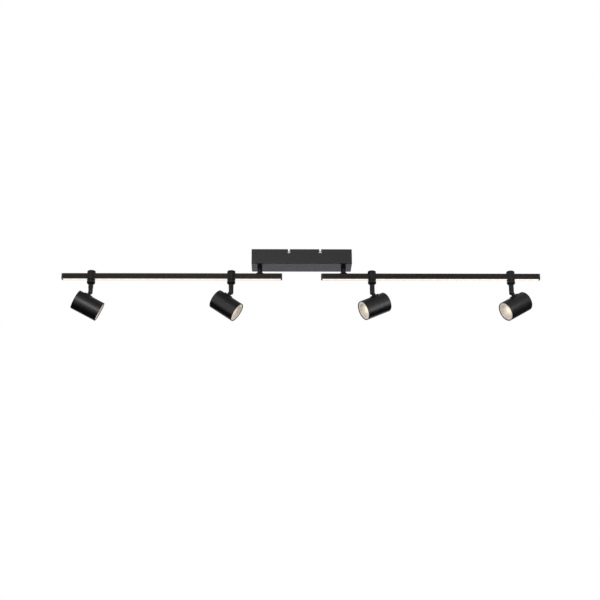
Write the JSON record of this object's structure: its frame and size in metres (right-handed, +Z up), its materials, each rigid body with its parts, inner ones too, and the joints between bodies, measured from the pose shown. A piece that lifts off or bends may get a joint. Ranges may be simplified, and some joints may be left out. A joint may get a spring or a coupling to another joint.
{
  "type": "track lighting fixture",
  "caption": "Ceiling light bar with a box canopy, two swivelling rails with glowing undersides, and cylindrical spot heads on stems that pan and tilt.",
  "frame": {"origin": "middle of the ceiling screw pattern, in the plane of the ceiling", "axes": "+X along the rails, -Y towards the front face with the keyhole notches, +Z up into the ceiling"},
  "size_m": [1.4, 0.0781, 0.2085],
  "materials": {
    "black_paint": "satin black powder coat",
    "black_plastic": "fine matt grain",
    "zinc_steel": "bright zinc plate",
    "black_screw": "black oxide steel",
    "white_plastic": "moulded, matt",
    "brass": "nickel-free plain brass",
    "wire_white": "silicone insulation",
    "wire_earth": "green and yellow silicone insulation",
    "opal_diffuser": "opal acrylic, lit warm white",
    "led_strip": "white solder mask",
    "ceramic": "unglazed",
    "lamp_body": "silver, satin",
    "lamp_lens": "faceted clear lens, lit warm white"
  },
  "bodies": {
    "canopy": {"canopy_cover": "black_paint", "ceiling_bracket": "zinc_steel", "cable_bush": "black_plastic", "locking_screws": "zinc_steel", "terminal_block": "white_plastic", "terminal_screws": "brass", "led_driver": "white_plastic", "canopy_wires": "wire_white", "earth_lead": "wire_earth", "post_bushes": "black_plastic"},
    "left_arm": {"left_post": "black_paint", "left_post_nut": "zinc_steel", "left_rail": "black_paint", "left_rail_end_caps": "black_plastic", "left_diffusers": "opal_diffuser", "left_led_strip": "led_strip", "left_rail_wires": "wire_white", "left_hub_caps": "black_paint", "left_hub_bodies": "black_paint", "left_hub_collars": "black_paint", "left_hub_screws": "black_screw"},
    "right_arm": {"right_post": "black_paint", "right_post_nut": "zinc_steel", "right_rail": "black_paint", "right_rail_end_caps": "black_plastic", "right_diffusers": "opal_diffuser", "right_led_strip": "led_strip", "right_rail_wires": "wire_white", "right_hub_caps": "black_paint", "right_hub_bodies": "black_paint", "right_hub_collars": "black_paint", "right_hub_screws": "black_screw"},
    "spot1_swivel": {"spot1_stem": "black_paint", "spot1_hinge_pin": "black_screw"},
    "spot1_head": {"spot1_knuckle": "black_paint", "spot1_can": "black_paint", "spot1_lamp_holder": "ceramic", "spot1_lamp": "lamp_body", "spot1_lamp_lens": "lamp_lens"},
    "spot2_swivel": {"spot2_stem": "black_paint", "spot2_hinge_pin": "black_screw"},
    "spot2_head": {"spot2_knuckle": "black_paint", "spot2_can": "black_paint", "spot2_lamp_holder": "ceramic", "spot2_lamp": "lamp_body", "spot2_lamp_lens": "lamp_lens"},
    "spot3_swivel": {"spot3_stem": "black_paint", "spot3_hinge_pin": "black_screw"},
    "spot3_head": {"spot3_knuckle": "black_paint", "spot3_can": "black_paint", "spot3_lamp_holder": "ceramic", "spot3_lamp": "lamp_body", "spot3_lamp_lens": "lamp_lens"},
    "spot4_swivel": {"spot4_stem": "black_paint", "spot4_hinge_pin": "black_screw"},
    "spot4_head": {"spot4_knuckle": "black_paint", "spot4_can": "black_paint", "spot4_lamp_holder": "ceramic", "spot4_lamp": "lamp_body", "spot4_lamp_lens": "lamp_lens"}
  },
  "joints": [
    {"name": "left_rail_swivel", "type": "hinge", "parent": "canopy", "child": "left_arm", "pos_m": [-0.1225, 0, -0.0653], "axis": [0, 0, 1], "range_deg": [-90, 90]},
    {"name": "right_rail_swivel", "type": "hinge", "parent": "canopy", "child": "right_arm", "pos_m": [0.1225, 0, -0.0653], "axis": [0, 0, 1], "range_deg": [-90, 90]},
    {"name": "spot1_pan", "type": "hinge", "parent": "left_arm", "child": "spot1_swivel", "pos_m": [-0.614, 0, -0.0968], "axis": [0, 0, 1], "range_deg": [-276, 74]},
    {"name": "spot1_tilt", "type": "hinge", "parent": "spot1_swivel", "child": "spot1_head", "pos_m": [-0.614, 0, -0.1202], "axis": [-0.1908, 0.9816, 0], "range_deg": [-26, 64]},
    {"name": "spot2_pan", "type": "hinge", "parent": "left_arm", "child": "spot2_swivel", "pos_m": [-0.206, 0, -0.0968], "axis": [0, 0, 1], "range_deg": [-257, 93]},
    {"name": "spot2_tilt", "type": "hinge", "parent": "spot2_swivel", "child": "spot2_head", "pos_m": [-0.206, 0, -0.1202], "axis": [0.1392, 0.9903, 0], "range_deg": [-35.5, 54.5]},
    {"name": "spot3_pan", "type": "hinge", "parent": "right_arm", "child": "spot3_swivel", "pos_m": [0.206, 0, -0.0968], "axis": [0, 0, 1], "range_deg": [-103, 247]},
    {"name": "spot3_tilt", "type": "hinge", "parent": "spot3_swivel", "child": "spot3_head", "pos_m": [0.206, 0, -0.1202], "axis": [0.309, -0.9511, 0], "range_deg": [-26, 64]},
    {"name": "spot4_pan", "type": "hinge", "parent": "right_arm", "child": "spot4_swivel", "pos_m": [0.614, 0, -0.0968], "axis": [0, 0, 1], "range_deg": [-103.5, 246.5]},
    {"name": "spot4_tilt", "type": "hinge", "parent": "spot4_swivel", "child": "spot4_head", "pos_m": [0.614, 0, -0.1202], "axis": [0.3173, -0.9483, 0], "range_deg": [-31, 59]}
  ]
}
